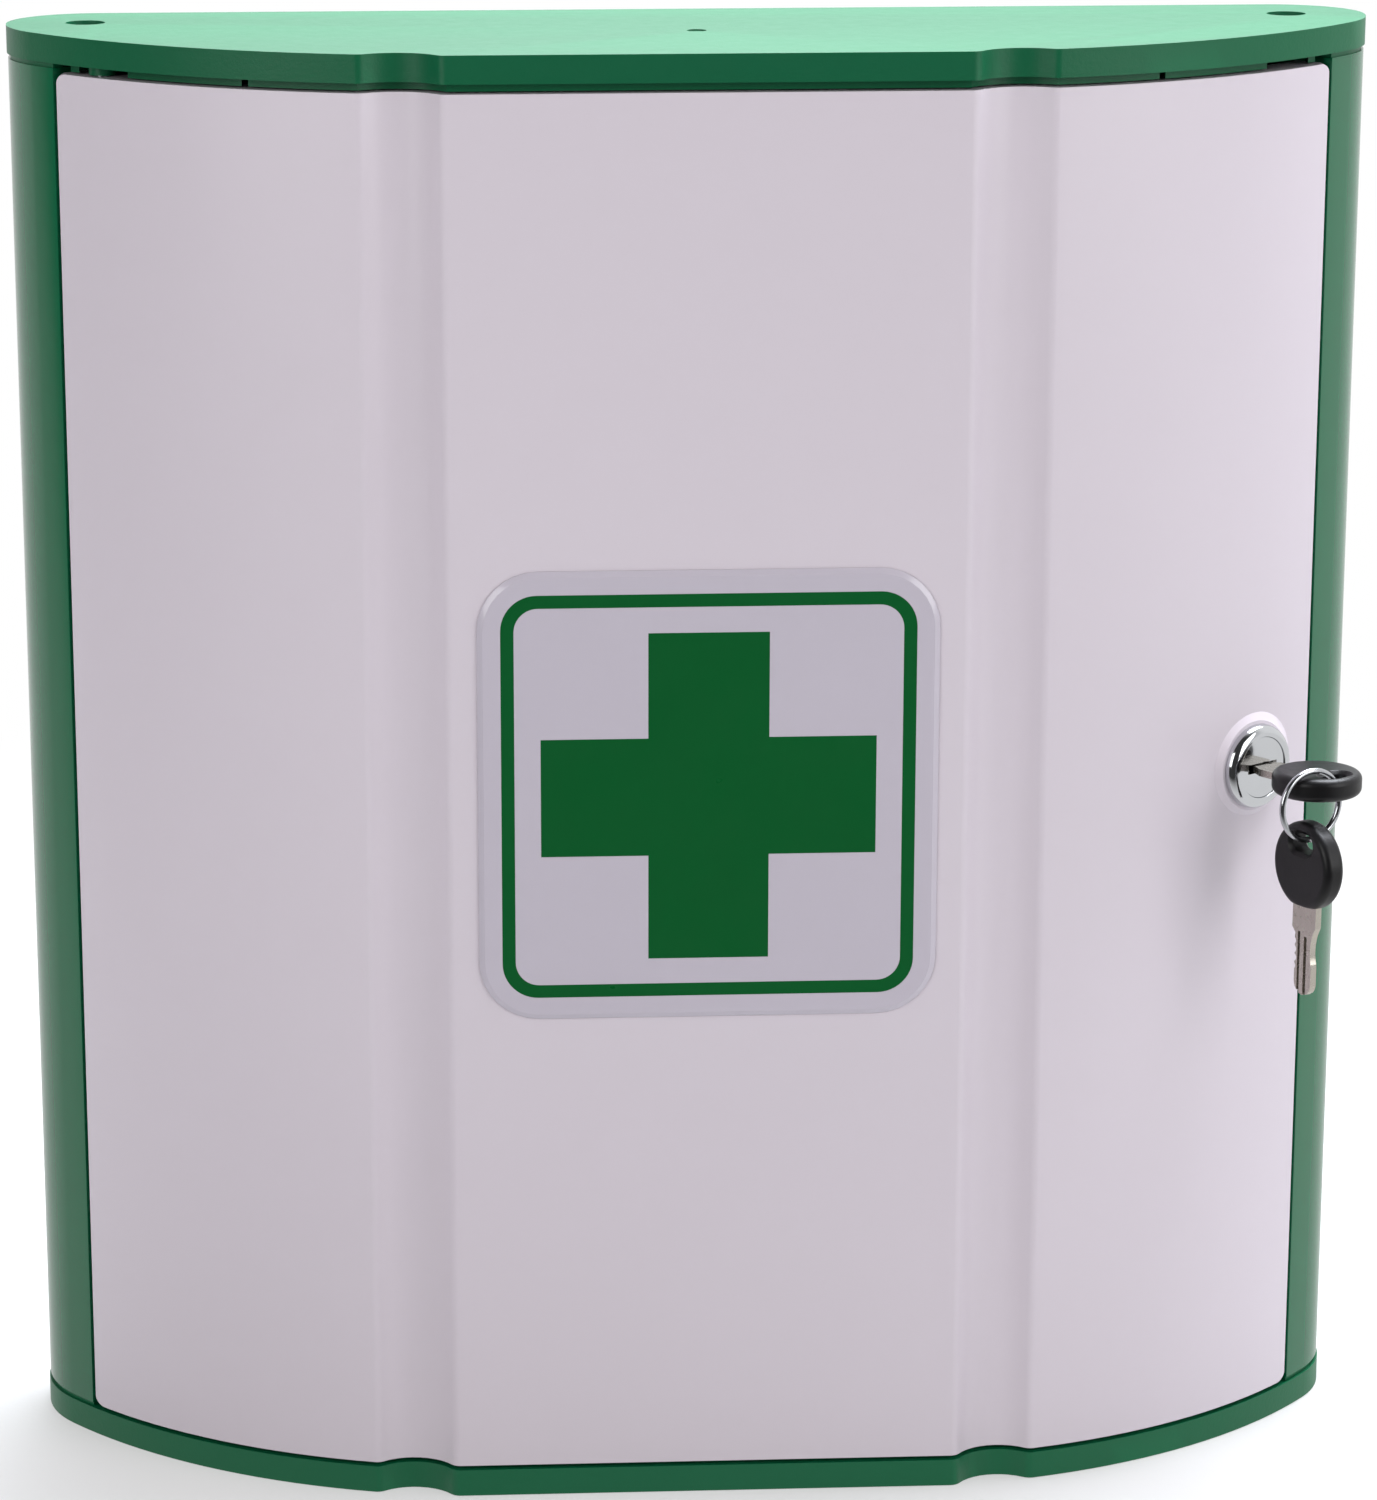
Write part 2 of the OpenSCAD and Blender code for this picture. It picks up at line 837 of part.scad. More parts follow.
module lock_plug() {
    color("silver")
        at_lock()
            difference() {
                union() {
                    translate([0, 0, -barrel_len - 0.4])
                        cylinder(d = plug_d, h = barrel_len + 0.4 + plug_face);
                    translate([0, 0, plug_face - plug_head_t])
                        cylinder(d = plug_head_d, h = plug_head_t);
                    translate([0, 0, -cam_front - cam_t + 0.2])
                        linear_extrude(cam_t + 2)
                            square(tail_w, center = true);
                }
                // Keyway, with a wider mouth at the face
                translate([0, 0, plug_face - blade_in - keyway_gap])
                    linear_extrude(blade_in + keyway_gap + past)
                        square([blade_w + 2 * keyway_gap, blade_t + 2 * keyway_gap], center = true);
                translate([0, 0, plug_face - 1.2])
                    linear_extrude(1.2 + past)
                        square([plug_d - 4, blade_t + 2 * keyway_gap], center = true);
                for (i = [0:wafers - 1])
                    translate([0, 0, wafer_z(i) - wafer_t / 2 - wafer_gap])
                        linear_extrude(wafer_t + 2 * wafer_gap)
                            square([plug_d + past, wafer_w + 2 * wafer_gap], center = true);
                translate([0, 0, -cam_front - cam_t])
                    cylinder(r = cam_screw_r + snug, h = cam_screw_len);
            }
}
cam_screw_r = 1.6;
cam_screw_len = 4.4;

module wafer_tumblers() {
    half_l = sqrt(pow(plug_d / 2, 2) - pow(wafer_w / 2, 2)) - 2 * wafer_gap;
    color("goldenrod")
        at_lock()
            for (i = [0:wafers - 1])
                translate([0, 0, wafer_z(i) - wafer_t / 2])
                    linear_extrude(wafer_t)
                        difference() {
                            square([2 * half_l, wafer_w], center = true);
                            square([blade_w + 2 * keyway_gap, blade_t + 2 * keyway_gap], center = true);
                        }
}

module stop_washer() {
    color("silver")
        at_lock()
            translate([0, 0, -cam_front + 0.05])
                linear_extrude(0.5)
                    difference() {
                        union() {
                            circle(d = plug_d + 1);
                            translate([-2.5, 0])
                                square([5, barrel_d / 2]);
                        }
                        square(tail_w + 2 * wafer_gap, center = true);
                    }
}

// The cam points up when the lock is open and turns behind the right return flange
module lock_cam() {
    color("silver")
        at_lock()
            translate([0, 0, -cam_front - cam_t])
                linear_extrude(cam_t)
                    difference() {
                        union() {
                            circle(d = cam_w + 3);
                            translate([-cam_w / 2, 0])
                                square([cam_w, cam_len - cam_w / 2]);
                            translate([0, cam_len - cam_w / 2])
                                circle(d = cam_w);
                        }
                        square(tail_w + 2 * wafer_gap, center = true);
                    }
}

module cam_screw() {
    color("silver")
        at_lock()
            translate([0, 0, -cam_front - cam_t]) {
                cylinder(r = cam_screw_r, h = cam_screw_len - 0.3);
                translate([0, 0, -2.2])
                    difference() {
                        cylinder(d = 9, h = 2.2);
                        translate([0, 0, -past])
                            linear_extrude(past + 1)
                                square([6, 1], center = true);
                    }
            }
}

/* Keys */

// Key frame: Z runs along the key from its tip to its head, X across, origin at the middle of the eye
head_c = -(head_d / 2 - eye_rim - eye_h / 2);
head_end = head_c - head_d / 2 + head_flat;
tang_len = 6;
eye_flare = 1;

shoulder_taper = 1.4;
blade_tip = head_end - blade_len;

// Bitting: round cuts along one edge of the blade
cuts = 4;
cut_pitch = 2.2;
cut_first = 7;
cut_r = 1;
function cut_depth(i) = 0.4 + 0.15 * ((i * 2) % 3);

// A long shallow wave along the other edge
wave_r = 12;
wave_depth = 0.6;
wave_at = 12;

module blade_outline() {
    difference() {
        union() {
            translate([0, blade_tip + blade_w / 2])
                circle(d = blade_w);
            translate([-blade_w / 2, blade_tip + blade_w / 2])
                square([blade_w, blade_len - blade_w / 2]);
            translate([0, head_end - shoulder_len])
                polygon([[-blade_w / 2, 0], [blade_w / 2, 0],
                    [shoulder_w / 2, shoulder_taper], [-shoulder_w / 2, shoulder_taper]]);
            translate([-shoulder_w / 2, head_end - shoulder_len + shoulder_taper])
                square([shoulder_w, shoulder_len - shoulder_taper + tang_len]);
        }
        for (i = [0:cuts - 1])
            translate([blade_w / 2 + cut_r - cut_depth(i), blade_tip + cut_first + cut_pitch * i])
                circle(cut_r);
        translate([-blade_w / 2 - wave_r + wave_depth, blade_tip + wave_at])
            circle(wave_r);
    }
}

// Milled grooves of one face: place across the blade, width, depth and length from the tip
grooves = [[-0.8, 1.1, 0.5, 15.5], [1.8, 0.9, 0.4, 16.5]];

module key_blade_shape() {
    difference() {
        rotate([90, 0, 0])
            linear_extrude(blade_t, center = true)
                blade_outline();
        for (turn = [0, 180], g = grooves)
            rotate(turn)
                translate([g[0] - g[1] / 2, blade_t / 2 - g[2], blade_tip - past])
                    cube([g[1], past, g[3] + past]);
    }
}

// Eye for the ring, flared at both faces so that the ring can swing
module eye_cut() {
    straight = eye_w - eye_h;
    linear_extrude(2 * head_t, center = true)
        union() {
            square([straight, eye_h], center = true);
            for (end = [-1, 1])
                translate([end * straight / 2, 0])
                    circle(d = eye_h);
        }
    for (face = [0, 1])
        mirror([0, 0, face])
            translate([0, 0, head_t / 2 - eye_flare]) {
                for (end = [-1, 1])
                    translate([end * straight / 2, 0, 0])
                        cylinder(r1 = eye_h / 2, r2 = eye_h / 2 + eye_flare + past, h = eye_flare + past);
                rotate([90, 0, 90])
                    linear_extrude(straight, center = true)
                        polygon([[-eye_h / 2, 0], [eye_h / 2, 0],
                            [eye_h / 2 + eye_flare + past, eye_flare + past],
                            [-eye_h / 2 - eye_flare - past, eye_flare + past]]);
            }
}

module key_head_shape() {
    edge_r = 2;
    difference() {
        translate([0, 0, head_c])
            rotate([90, 0, 0])
                rotate_extrude()
                    union() {
                        translate([0, -head_t / 2])
                            square([head_d / 2 - edge_r, head_t]);
                        translate([0, -head_t / 2 + edge_r])
                            square([head_d / 2, head_t - 2 * edge_r]);
                        for (side = [-1, 1])
                            translate([head_d / 2 - edge_r, side * (head_t / 2 - edge_r)])
                                circle(edge_r);
                    }
        rotate([90, 0, 0])
            eye_cut();
        // Flat at the root of the blade
        translate([-head_d / 2, -head_t, head_end - head_d])
            cube([head_d, 2 * head_t, head_d]);
        // Pocket for the blade's tang
        translate([-shoulder_w / 2 - snug, -blade_t / 2 - snug, head_end - past])
            cube([shoulder_w + 2 * snug, blade_t + 2 * snug, tang_len + past + snug]);
    }
}

// The first key sits in the plug with its flat sides level
eye_s = plug_face + shoulder_gap + shoulder_len - head_end;

module at_key() {
    at_lock()
        translate([0, 0, eye_s])
            children();
}

// The ring hangs on the web between the eye and the left edge of the head
web_out = sqrt(pow(head_d / 2, 2) - pow(head_c, 2));
web_mid = (eye_w / 2 + web_out) / 2 + 0.1;
ring_drop = 4.1;
hang_gap = 0.9;
ring_c = [-web_mid, -ring_drop, -web_mid * tan(ring_yaw)];

module at_ring() {
    at_key()
        translate(ring_c)
            rotate([0, -ring_yaw, 0])
                children();
}

// The second key hangs from the lowest point of the ring
module at_spare_key() {
    at_ring()
        translate([0, -ring_d / 2 - (eye_h / 2 - ring_wire / 2 - hang_gap), 0])
            rotate([0, 90, 0])
                rotate([-90, 0, 0])
                    children();
}

module key_blade() {
    color("silver")
        at_key()
            key_blade_shape();
}

module key_head() {
    color("dimgray")
        at_key()
            key_head_shape();
}

module key_ring() {
    color("silver")
        at_ring()
            rotate_extrude()
                translate([ring_d / 2, 0])
                    circle(d = ring_wire);
}

module spare_key_blade() {
    color("silver")
        at_spare_key()
            key_blade_shape();
}

module spare_key_head() {
    color("dimgray")
        at_spare_key()
            key_head_shape();
}

body_shell();
top_cap();
bottom_cap();
top_cap_screws();
bottom_cap_screws();
shelf_upper();
shelf_lower();
hinge_pin_upper();
hinge_pin_lower();
door_panel();
door_label();
lock_housing();
lock_washer();
lock_nut();
lock_plug();
wafer_tumblers();
stop_washer();
lock_cam();
cam_screw();
key_blade();
key_head();
key_ring();
spare_key_blade();
spare_key_head();
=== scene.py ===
import json
import math

import bmesh
import bpy
from mathutils import Matrix, Vector


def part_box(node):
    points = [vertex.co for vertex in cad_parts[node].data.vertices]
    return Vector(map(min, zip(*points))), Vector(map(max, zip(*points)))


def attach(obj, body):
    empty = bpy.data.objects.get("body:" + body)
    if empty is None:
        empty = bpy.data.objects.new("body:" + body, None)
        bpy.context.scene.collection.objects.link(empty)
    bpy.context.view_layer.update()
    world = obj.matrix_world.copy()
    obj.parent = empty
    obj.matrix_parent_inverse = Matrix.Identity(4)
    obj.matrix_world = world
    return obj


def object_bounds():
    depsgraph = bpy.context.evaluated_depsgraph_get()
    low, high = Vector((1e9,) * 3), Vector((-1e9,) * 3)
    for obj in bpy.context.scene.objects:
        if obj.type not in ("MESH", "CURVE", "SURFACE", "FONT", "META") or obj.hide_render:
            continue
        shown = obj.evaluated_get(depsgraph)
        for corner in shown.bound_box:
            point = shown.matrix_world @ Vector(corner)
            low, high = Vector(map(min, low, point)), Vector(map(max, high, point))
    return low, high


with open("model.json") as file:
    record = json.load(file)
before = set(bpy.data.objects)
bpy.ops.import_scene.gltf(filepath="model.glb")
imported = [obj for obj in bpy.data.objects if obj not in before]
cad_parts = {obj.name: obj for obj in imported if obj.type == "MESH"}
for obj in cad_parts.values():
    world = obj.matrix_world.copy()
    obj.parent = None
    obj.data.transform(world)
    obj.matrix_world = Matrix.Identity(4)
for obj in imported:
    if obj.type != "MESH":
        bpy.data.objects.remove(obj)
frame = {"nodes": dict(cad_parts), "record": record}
cad_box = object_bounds()
nodes = frame["nodes"]
scene = bpy.context.scene
MM = 0.001
WHITE = (1, 1, 1, 1)


# Colours and node helpers
def rgb(r, g, b):
    """An sRGB colour, 0 to 255, as linear light."""
    def one(v):
        v /= 255
        return v / 12.92 if v <= 0.04045 else ((v + 0.055) / 1.055) ** 2.4
    return (one(r), one(g), one(b), 1.0)


def shade(color, factor):
    return (color[0] * factor, color[1] * factor, color[2] * factor, 1.0)


class Tree:
    """A short way to write node trees."""
    def __init__(self, owner):
        self.tree = owner.node_tree
        self.tree.nodes.clear()

    def add(self, kind, inputs=None, **props):
        """A node with its properties set, and each input linked to an output or set to a value."""
        node = self.tree.nodes.new(kind)
        for key, value in props.items():
            setattr(node, key, value)
        for key, value in (inputs or {}).items():
            if isinstance(value, bpy.types.NodeSocket):
                self.tree.links.new(value, node.inputs[key])
            else:
                node.inputs[key].default_value = value
        return node

    def math(self, operation, a, b):
        return self.add("ShaderNodeMath", {0: a, 1: b}, operation=operation).outputs[0]

    def scaled(self, low, high, value, start=0.0, end=1.0):
        """Goes from low to high while value goes from start to end."""
        return self.add("ShaderNodeMapRange", {
            "Value": value, "From Min": start, "From Max": end, "To Min": low, "To Max": high}).outputs[0]

    def eased(self, low, high, value, start, end):
        """As scaled, with a soft beginning and end."""
        return self.add("ShaderNodeMapRange", {
            "Value": value, "From Min": start, "From Max": end, "To Min": low, "To Max": high},
            interpolation_type="SMOOTHSTEP").outputs[0]

    def noise(self, coords, size, detail=3.0, rough=0.5, stretch=(1, 1, 1)):
        """A noise whose features are about size metres."""
        stretched = self.add("ShaderNodeMapping", {"Vector": coords, "Scale": stretch})
        node = self.add("ShaderNodeTexNoise", {
            "Vector": stretched.outputs[0], "Scale": 1 / size, "Detail": detail, "Roughness": rough})
        return node.outputs["Fac"]

    def mix(self, factor, a, b):
        """Between two colours, which are inputs 6 and 7 of the node."""
        return self.add("ShaderNodeMix", {0: factor, 6: a, 7: b}, data_type="RGBA").outputs[2]

    def blend(self, factor, a, b):
        """Between two shaders."""
        return self.add("ShaderNodeMixShader", {0: factor, 1: a, 2: b}).outputs[0]

    def bump(self, height, distance, normal=None):
        inputs = {"Height": height, "Distance": distance, "Strength": 1.0}
        if normal is not None:
            inputs["Normal"] = normal
        return self.add("ShaderNodeBump", inputs).outputs[0]


def new_material(name):
    material = bpy.data.materials.new(name)
    material.use_nodes = True
    return material, Tree(material)


# Dust specks: the side of a speck's cell in speck sizes, its radius and the share of cells with one
SPECK_CELL = 42
SPECK_RADIUS = 0.014
SPECK_SHARE = 0.14
# Pointiness at which an edge begins to lighten, and at which it is lightest
EDGE_START, EDGE_END = 0.52, 0.62


def surface(name, color, rough, *, metallic=0.0, specular=0.5, coat=0.0, coat_rough=0.04,
            mottle=0.06, mottle_size=0.05, rough_spread=0.05, rough_size=0.012,
            grain=(), streak=None, specks=None, edge=0.0):
    """A moulded or metal surface: faint mottling, uneven gloss, grain as bump, optional extras.

    grain holds (feature size, height) pairs in metres, streak is (direction stretch, size, height),
    specks is (size, colour) and edge is how far the sharp edges lighten.
    """
    material, t = new_material(name)
    coords = t.add("ShaderNodeTexCoord").outputs["Object"]
    cloud = t.noise(coords, mottle_size, 4.0, 0.55)
    base = t.mix(cloud, shade(color, 1 - mottle), shade(color, 1 + mottle))
    gloss = t.noise(coords, rough_size)
    roughness = t.scaled(max(0.02, rough - rough_spread), rough + rough_spread, gloss)
    normal = None
    for size, height in grain:
        normal = t.bump(t.noise(coords, size, 2.0, 0.6), height, normal)
    if streak:
        stretch, size, height = streak
        lines = t.noise(coords, size, 3.0, 0.7, stretch)
        normal = t.bump(lines, height, normal)
        base = t.mix(t.scaled(0.0, 0.35, lines), base, shade(color, 0.72))
    if specks:
        speck_size, speck_color = specks
        cells = t.add("ShaderNodeTexVoronoi", {"Vector": coords, "Scale": 1 / (speck_size * SPECK_CELL)})
        near = t.math("LESS_THAN", cells.outputs["Distance"], SPECK_RADIUS)
        chance = t.add("ShaderNodeSeparateColor", {0: cells.outputs["Color"]}).outputs[0]
        some = t.math("GREATER_THAN", chance, 1 - SPECK_SHARE)
        base = t.mix(t.math("MULTIPLY", near, some), base, speck_color)
    if edge:
        sharp = t.add("ShaderNodeNewGeometry").outputs["Pointiness"]
        base = t.mix(t.scaled(0.0, edge, sharp, EDGE_START, EDGE_END), base, shade(color, 1.6))
    inputs = {"Base Color": base, "Roughness": roughness, "Metallic": metallic,
              "Specular IOR Level": specular, "Coat Weight": coat, "Coat Roughness": coat_rough}
    if normal is not None:
        inputs["Normal"] = normal
    shader = t.add("ShaderNodeBsdfPrincipled", inputs)
    t.add("ShaderNodeOutputMaterial", {"Surface": shader.outputs[0]})
    return material


# Materials, by the slot that each piece has in the frame
GREEN = rgb(0, 93, 58)
DOME_GRAIN = ((0.02, 0.00004),)
materials = {
    "case_gloss": surface(
        "case_gloss_green", GREEN, 0.16, specular=0.55, mottle=0.05, mottle_size=0.09,
        rough_spread=0.04, rough_size=0.03, grain=((0.011, 0.00003),), edge=0.3),
    "cap_matt": surface(
        "cap_matt_green", GREEN, 0.42, specular=0.35, mottle=0.04, mottle_size=0.03,
        rough_spread=0.04, rough_size=0.004, grain=((0.0011, 0.00005), (0.00045, 0.00002)), edge=0.3),
    "door_white": surface(
        "door_white", rgb(214, 205, 213), 0.3, mottle=0.012, mottle_size=0.12,
        rough_spread=0.05, rough_size=0.02, grain=((0.006, 0.000025), (0.0009, 0.000004)),
        specks=(0.0007, rgb(120, 112, 118))),
    "shelf_white": surface(
        "shelf_white", rgb(214, 212, 208), 0.4, mottle=0.02, grain=((0.0012, 0.00002),)),
    "zinc_steel": surface(
        "zinc_steel", rgb(178, 180, 184), 0.32, metallic=1.0, mottle=0.1, mottle_size=0.004,
        rough_spread=0.1, rough_size=0.002, grain=((0.0006, 0.00001),)),
    "bright_chrome": surface(
        "bright_chrome", rgb(205, 207, 210), 0.09, metallic=1.0, mottle=0.03, mottle_size=0.006,
        rough_spread=0.05, rough_size=0.003, grain=((0.002, 0.000004),)),
    "wafer_brass": surface(
        "wafer_brass", rgb(196, 160, 90), 0.3, metallic=1.0, mottle=0.1, mottle_size=0.003,
        streak=((6, 1, 1), 0.002, 0.00001)),
    "key_steel": surface(
        "key_nickel", rgb(196, 190, 180), 0.26, metallic=1.0, mottle=0.08, mottle_size=0.004,
        rough_spread=0.1, rough_size=0.002, streak=((1, 1, 0.12), 0.0007, 0.000012)),
    "key_black": surface(
        "key_black", rgb(13, 12, 14), 0.4, specular=0.35, mottle=0.12, mottle_size=0.006,
        rough_spread=0.08, rough_size=0.002, grain=((0.0009, 0.00002),), edge=0.5),
    "ring_steel": surface(
        "ring_steel", rgb(190, 192, 196), 0.16, metallic=1.0, mottle=0.06, mottle_size=0.003,
        rough_spread=0.06, rough_size=0.002, grain=((0.001, 0.000006),)),
    "label_resin": surface(
        "label_resin", rgb(196, 189, 200), 0.22, coat=0.6, coat_rough=0.03,
        mottle=0.015, mottle_size=0.04, grain=DOME_GRAIN),
}
sign_ink = surface(
    "sign_ink_green", rgb(0, 89, 38), 0.3, specular=0.3, coat=0.15, coat_rough=0.03,
    mottle=0.05, mottle_size=0.03, grain=DOME_GRAIN)

# CAD nodes: edges, shading, materials
WELD_GAP = 0.002 * MM
FLAT_BELOW = math.radians(0.4)
SMOOTH_BELOW = math.radians(28)
ROUND_ABOVE = math.radians(32)
ROUNDING_STEPS = 2
# Radius of the rounded edges, in millimetres, and the nodes that have it
ROUNDINGS = {
    0.8: ("door_panel",),
    0.5: ("body_shell", "shelf_upper", "shelf_lower", "lock_nut"),
    0.4: ("top_cap", "bottom_cap", "door_label", "lock_housing", "key_head", "spare_key_head"),
    0.3: ("hinge_pin_upper", "hinge_pin_lower", "lock_cam", "cam_screw"),
    0.2: ("top_cap_screws", "bottom_cap_screws", "lock_washer", "lock_plug"),
    0.15: ("key_blade", "spare_key_blade"),
    0.1: ("wafer_tumblers", "stop_washer"),
    0.0: ("key_ring",),
}


def smooth_by_angle():
    """A node group that welds the imported corners and shades smooth across gentle bends."""
    group = bpy.data.node_groups.new("weld_and_smooth", "GeometryNodeTree")
    group.interface.new_socket("Geometry", in_out="INPUT", socket_type="NodeSocketGeometry")
    group.interface.new_socket("Geometry", in_out="OUTPUT", socket_type="NodeSocketGeometry")
    add = group.nodes.new
    link = group.links.new
    source, sink = add("NodeGroupInput"), add("NodeGroupOutput")
    weld = add("GeometryNodeMergeByDistance")
    weld.inputs["Distance"].default_value = WELD_GAP
    angle = add("GeometryNodeInputMeshEdgeAngle")
    gentle = add("FunctionNodeCompare")
    gentle.data_type = "FLOAT"
    gentle.operation = "LESS_EQUAL"
    gentle.inputs["B"].default_value = SMOOTH_BELOW
    faces = add("GeometryNodeSetShadeSmooth")
    faces.domain = "FACE"
    faces.inputs["Shade Smooth"].default_value = True
    edges = add("GeometryNodeSetShadeSmooth")
    edges.domain = "EDGE"
    link(source.outputs[0], weld.inputs[0])
    link(weld.outputs[0], faces.inputs[0])
    link(faces.outputs[0], edges.inputs[0])
    link(angle.outputs["Unsigned Angle"], gentle.inputs["A"])
    link(gentle.outputs[0], edges.inputs["Shade Smooth"])
    link(edges.outputs[0], sink.inputs[0])
    return group


SMOOTH = smooth_by_angle()


def finish_edges(obj, radius=0.0):
    """Welds, dissolves flat triangles, rounds the sharp edges and smooths what bends gently."""
    weld = obj.modifiers.new("weld", "WELD")
    weld.merge_threshold = WELD_GAP
    if radius:
        flat = obj.modifiers.new("flat", "DECIMATE")
        flat.decimate_type = "DISSOLVE"
        flat.angle_limit = FLAT_BELOW
        rounding = obj.modifiers.new("rounding", "BEVEL")
        rounding.width = radius
        rounding.segments = ROUNDING_STEPS
        rounding.limit_method = "ANGLE"
        rounding.angle_limit = ROUND_ABOVE
        rounding.use_clamp_overlap = True
        rounding.loop_slide = False
        rounding.miter_outer = "MITER_ARC"
    shading = obj.modifiers.new("shading", "NODES")
    shading.node_group = SMOOTH
    normals = obj.modifiers.new("normals", "WEIGHTED_NORMAL")
    normals.mode = "FACE_AREA"
    normals.weight = 100
    normals.keep_sharp = True


slots = {row["node"]: row["material_slot"] for row in frame["record"]["subparts"]}
radii = {name: radius * MM for radius, names in ROUNDINGS.items() for name in names}
for name, obj in nodes.items():
    obj.data.materials.clear()
    obj.data.materials.append(materials[slots[name]])
    finish_edges(obj, radii[name])


# The sign on the label plate
def printed(name, outlines, y_front, thickness, material, body):
    """A thin printed piece: outlines in X and Z, one outside and any holes, extruded back from y_front."""
    curve = bpy.data.curves.new(name, "CURVE")
    curve.dimensions = "2D"
    curve.fill_mode = "BOTH"
    for outline in outlines:
        spline = curve.splines.new("POLY")
        spline.points.add(len(outline) - 1)
        for point, (x, z) in zip(spline.points, outline):
            point.co = (x, z, 0, 1)
        spline.use_cyclic_u = True
    curve.extrude = thickness / 2
    holder = bpy.data.objects.new(name + "_curve", curve)
    scene.collection.objects.link(holder)
    bpy.context.view_layer.update()
    mesh = bpy.data.meshes.new_from_object(holder.evaluated_get(bpy.context.evaluated_depsgraph_get()))
    bpy.data.objects.remove(holder)
    mesh.name = name
    # The curve's own Z, its thickness, turns to point forward, along -Y
    upright = Matrix.Rotation(math.radians(90), 4, "X")
    mesh.transform(Matrix.Translation((0, y_front + thickness / 2, 0)) @ upright)
    mesh.materials.clear()
    mesh.materials.append(material)
    obj = bpy.data.objects.new(name, mesh)
    scene.collection.objects.link(obj)
    finish_edges(obj)
    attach(obj, body)


def rounded_square(cx, cz, size, radius, steps=12):
    half = size / 2 - radius
    points = []
    for quarter, (sx, sz) in enumerate(((1, 1), (-1, 1), (-1, -1), (1, -1))):
        for i in range(steps + 1):
            a = math.radians(90 * quarter + 90 * i / steps)
            points.append((cx + sx * half + radius * math.cos(a), cz + sz * half + radius * math.sin(a)))
    return points


def cross_outline(cx, cz, reach, arm_half):
    """A cross with four equal arms."""
    points = []
    for sx, sz in ((1, 1), (-1, 1), (-1, -1), (1, -1)):
        corner = [(reach, arm_half), (arm_half, arm_half), (arm_half, reach)]
        if sx * sz < 0:
            corner.reverse()
        points += [(cx + sx * x, cz + sz * z) for x, z in corner]
    return points


label_lo, label_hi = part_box("door_label")
label_x = (label_lo.x + label_hi.x) / 2
label_z = (label_lo.z + label_hi.z) / 2
label_size = label_hi.x - label_lo.x
frame_size = label_size * 0.899
frame_line = 3.3 * MM
frame_corner = 9 * MM
frame_inner_corner = 6 * MM
cross_reach = label_size * 0.364
arm_half = label_size * 0.131
ink_proud = 0.02 * MM
ink_depth = 0.3 * MM
printed("sign_frame", [
    rounded_square(label_x, label_z, frame_size, frame_corner),
    rounded_square(label_x, label_z, frame_size - 2 * frame_line, frame_inner_corner)],
    label_lo.y - ink_proud, ink_depth, sign_ink, "door")
printed("sign_cross", [cross_outline(label_x, label_z, cross_reach, arm_half)],
        label_lo.y - ink_proud, ink_depth, sign_ink, "door")

# Room and floor
ROOM_TINT = (1.0, 0.99, 1.0, 1)
ROOM_LIGHT = 0.42
ROOM_DARK = 0.05
ROOM_TURN = 0.35
FLOOR = rgb(160, 160, 160)
FLOOR_GLOW = 0.45
FLOOR_FADE = (0.3, 0.8)
FLOOR_HALF = 4.0
FLOOR_DROP = 0.2 * MM


def backward(t, coords):
    """How far to the back a place or direction lies, with the bright part of the room turned right."""
    axes = t.add("ShaderNodeSeparateXYZ", {0: coords})
    return t.math("ADD", axes.outputs["Y"], t.math("MULTIPLY", axes.outputs["X"], ROOM_TURN))


def studio_world():
    """Even light on the surfaces, and white for the camera.

    Reflections see a white backdrop behind the object and a dark room in front of it.
    """
    world = bpy.data.worlds.new("studio")
    world.use_nodes = True
    t = Tree(world)
    path = t.add("ShaderNodeLightPath")
    camera_ray = path.outputs["Is Camera Ray"]
    towards = backward(t, t.add("ShaderNodeTexCoord").outputs["Generated"])
    backdrop = t.math("MAXIMUM", t.eased(ROOM_DARK, 1.0, towards, -0.35, 0.3), camera_ray)
    even = t.add("ShaderNodeBackground", {"Color": ROOM_TINT, "Strength": ROOM_LIGHT}).outputs[0]
    seen = t.add("ShaderNodeBackground", {"Color": WHITE, "Strength": backdrop}).outputs[0]
    looks = t.math("MAXIMUM", camera_ray, path.outputs["Is Glossy Ray"])
    looks = t.math("MAXIMUM", looks, path.outputs["Is Transmission Ray"])
    t.add("ShaderNodeOutputWorld", {"Surface": t.blend(looks, even, seen)})
    return world


def floor_paper():
    """Pale paper that shows the shadow near the object and turns to plain white further out.

    Reflections see it bright behind the object and dark in front of it.
    """
    material, t = new_material("pale_floor")

    def white(strength):
        return t.add("ShaderNodeEmission", {"Color": WHITE, "Strength": strength}).outputs[0]

    coords = t.add("ShaderNodeTexCoord").outputs["Object"]
    paper = t.mix(t.noise(coords, 0.25), shade(FLOOR, 0.98), FLOOR)
    tooth = t.bump(t.noise(coords, 0.002), 0.05 * MM)
    diffuse = t.add("ShaderNodeBsdfDiffuse", {"Color": paper, "Normal": tooth}).outputs[0]
    near = t.add("ShaderNodeAddShader", {0: diffuse, 1: white(FLOOR_GLOW)}).outputs[0]
    away = t.add("ShaderNodeVectorMath", {0: coords}, operation="LENGTH").outputs["Value"]
    pale = t.blend(t.eased(0.0, 1.0, away, *FLOOR_FADE), near, white(1.0))
    mirrored = white(t.eased(ROOM_DARK, 0.9, backward(t, coords), -0.4, 0.0))
    path = t.add("ShaderNodeLightPath")
    shown = t.blend(path.outputs["Is Camera Ray"], diffuse, pale)
    shown = t.blend(path.outputs["Is Glossy Ray"], shown, mirrored)
    t.add("ShaderNodeOutputMaterial", {"Surface": shown})
    return material


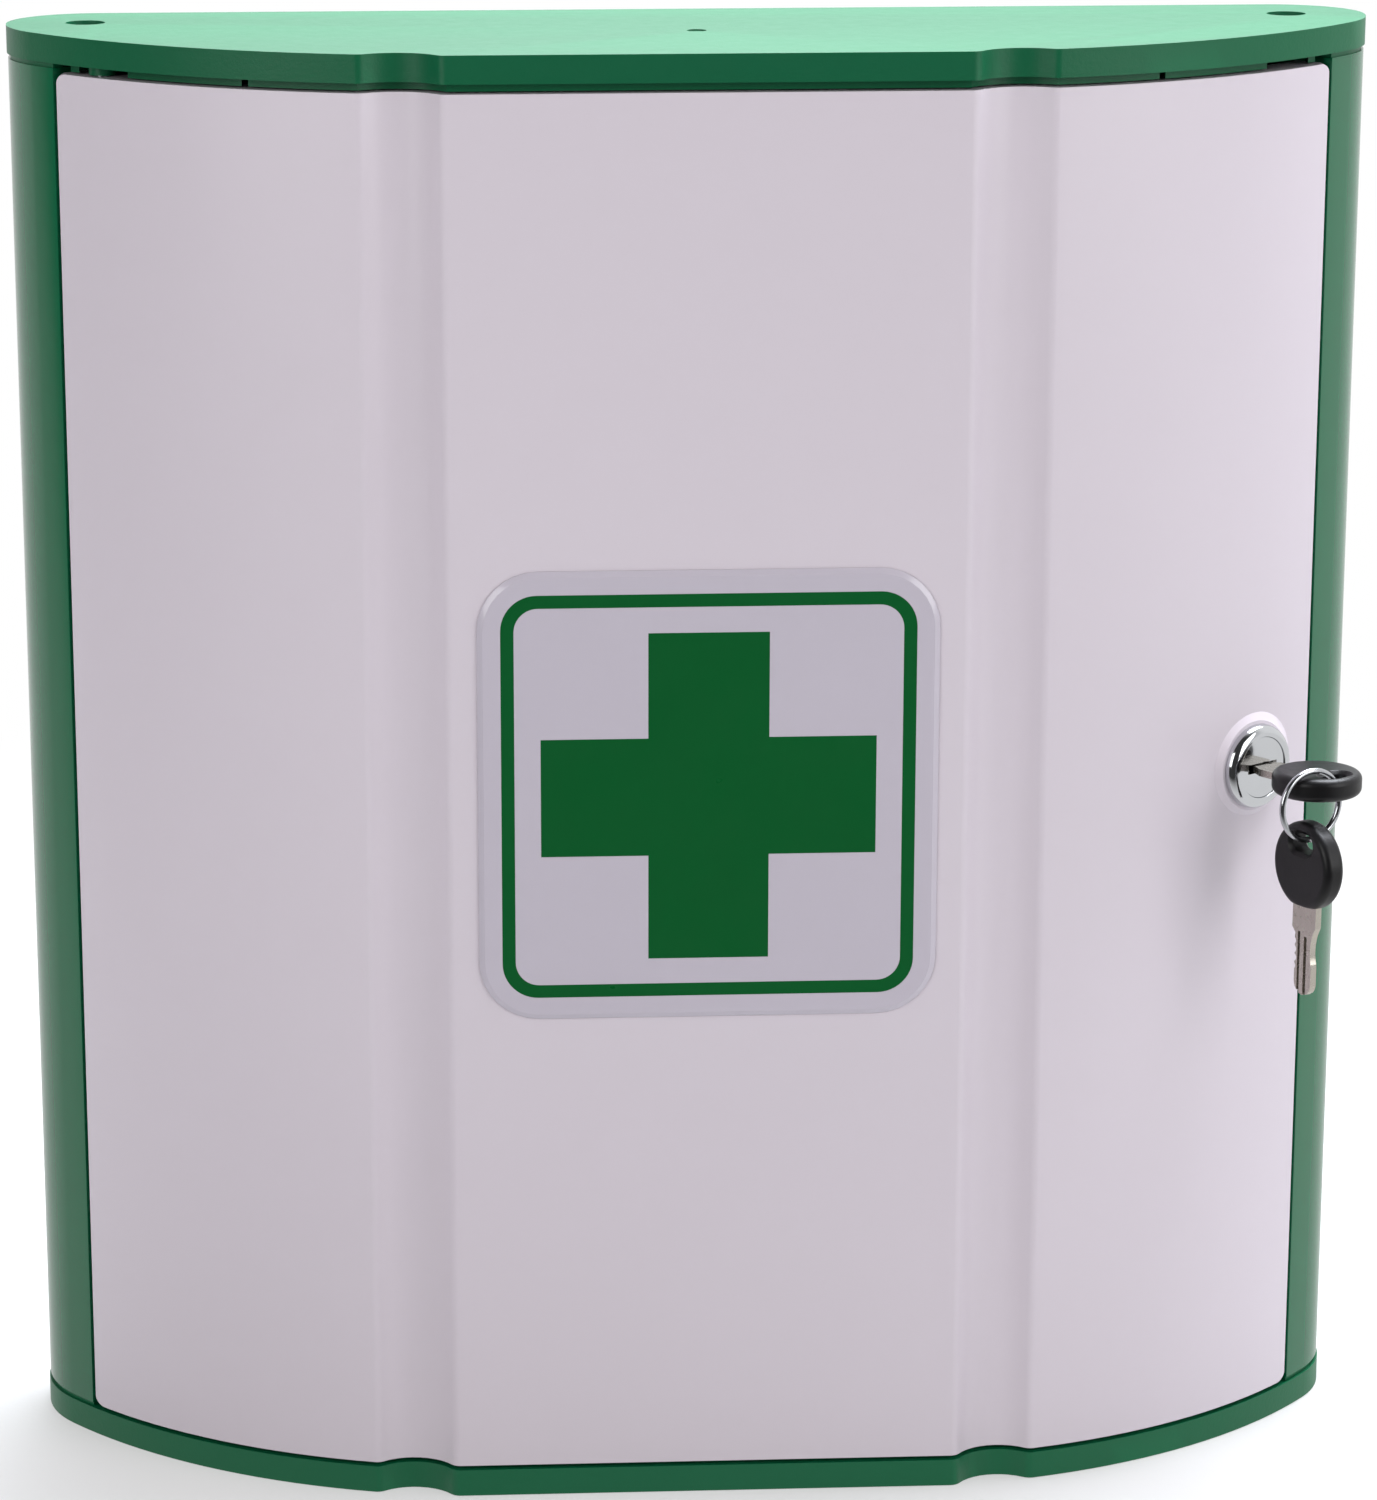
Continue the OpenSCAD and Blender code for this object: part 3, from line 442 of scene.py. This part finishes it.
scene.world = studio_world()
bm = bmesh.new()
bmesh.ops.create_grid(bm, x_segments=8, y_segments=8, size=FLOOR_HALF)
floor_mesh = bpy.data.meshes.new("floor")
bm.to_mesh(floor_mesh)
bm.free()
floor_mesh.materials.append(floor_paper())
floor = bpy.data.objects.new("floor", floor_mesh)
floor.location = (0, 0, -FLOOR_DROP)
scene.collection.objects.link(floor)

# Lamps
centre = (cad_box[0] + cad_box[1]) / 2


def softbox(name, position, size, power, color=(1, 1, 1)):
    """A rectangular lamp that points at the middle of the object."""
    data = bpy.data.lights.new(name, "AREA")
    data.shape = "RECTANGLE"
    data.size, data.size_y = size
    data.energy = power
    data.color = color
    lamp = bpy.data.objects.new(name, data)
    lamp.location = position
    lamp.rotation_euler = (centre - Vector(position)).to_track_quat("-Z", "Y").to_euler()
    scene.collection.objects.link(lamp)


softbox("overhead", (0.3, 0.5, 1.48), size=(1.4, 0.9), power=73, color=(0.96, 1.0, 1.08))
softbox("right_front", (1.5, -1.2, 0.8), size=(1.2, 1.4), power=15.5)
softbox("left_front", (-1.3, -1.3, 0.8), size=(1.0, 1.2), power=12)

# Camera: the lens and the shift are in pixels of the photograph, which is FRAME_H pixels high
FRAME_H = 1500
FOCAL_PX = 5219.0
SHIFT_PX = (-76.1, 121.0)
SENSOR = 36.0
EYE = Vector((-0.0892, -1.3063, 0.5157))
YAW, PITCH, ROLL = (math.radians(v) for v in (2.97, 15.5, -0.11))
forward = Vector((math.sin(YAW) * math.cos(PITCH), math.cos(YAW) * math.cos(PITCH), -math.sin(PITCH)))
level = Vector((math.cos(YAW), -math.sin(YAW), 0))
above = level.cross(forward)
right = math.cos(ROLL) * level + math.sin(ROLL) * above
up = -math.sin(ROLL) * level + math.cos(ROLL) * above
camera_data = bpy.data.cameras.new("camera")
camera_data.sensor_width = SENSOR
camera_data.lens = FOCAL_PX / FRAME_H * SENSOR
camera_data.shift_x = -SHIFT_PX[0] / FRAME_H
camera_data.shift_y = SHIFT_PX[1] / FRAME_H
camera_data.clip_start = 0.05
camera_data.clip_end = 50
camera = bpy.data.objects.new("camera", camera_data)
camera.matrix_world = Matrix.Translation(EYE) @ Matrix((right, up, -forward)).transposed().to_4x4()
scene.collection.objects.link(camera)
scene.camera = camera
scene.view_settings.view_transform = "Standard"
